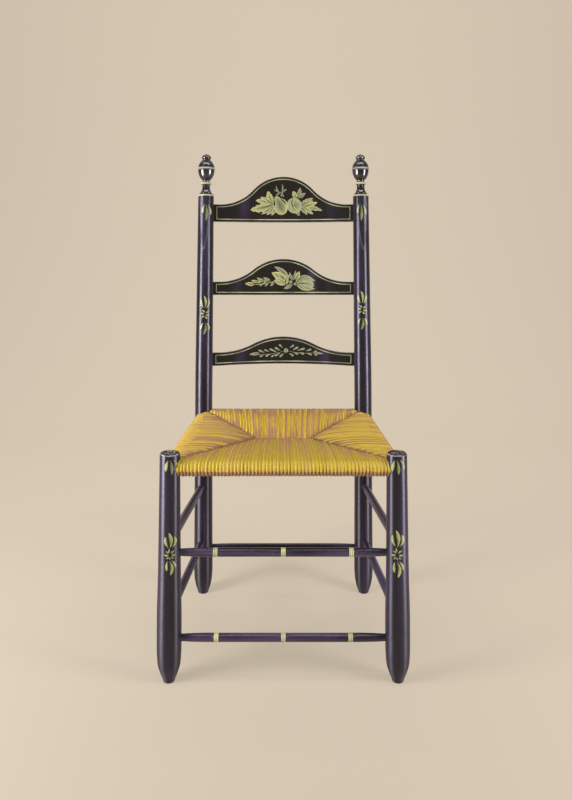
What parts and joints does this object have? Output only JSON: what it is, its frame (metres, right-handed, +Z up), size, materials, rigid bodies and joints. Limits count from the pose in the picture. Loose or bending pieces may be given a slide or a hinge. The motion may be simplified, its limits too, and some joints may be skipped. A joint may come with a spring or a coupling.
{
  "type": "side chair",
  "caption": "Slat-back side chair with turned posts and finials, bowed slats, round stretchers and a woven rush seat, painted black with stenciled fruit and leaves.",
  "frame": {"origin": "on the floor, under the middle of the chair's bounding box", "axes": "+Z up, -Y towards the front of the seat, +X to the right of someone who faces the chair; the back's top leans towards +Y"},
  "size_m": [0.4887, 0.4624, 1.0352],
  "materials": {
    "black_paint": "satin",
    "bare_wood": "matte",
    "rush": "matte",
    "stuffing": "matte"
  },
  "bodies": {
    "root": {"front_post_left": "black_paint", "front_post_right": "black_paint", "rear_post_left": "black_paint", "rear_post_right": "black_paint", "slat_top": "black_paint", "slat_middle": "black_paint", "slat_bottom": "black_paint", "slat_peg_left": "black_paint", "slat_peg_right": "black_paint", "front_stretcher_upper": "black_paint", "front_stretcher_lower": "black_paint", "rear_stretcher": "black_paint", "side_stretcher_upper_left": "black_paint", "side_stretcher_lower_left": "black_paint", "side_stretcher_upper_right": "black_paint", "side_stretcher_lower_right": "black_paint", "seat_rail_front": "bare_wood", "seat_rail_rear": "bare_wood", "seat_rail_left": "bare_wood", "seat_rail_right": "bare_wood", "rush_front": "rush", "rush_right": "rush", "rush_rear": "rush", "rush_left": "rush", "stuffing_front": "stuffing", "stuffing_right": "stuffing", "stuffing_rear": "stuffing", "stuffing_left": "stuffing"}
  },
  "joints": []
}
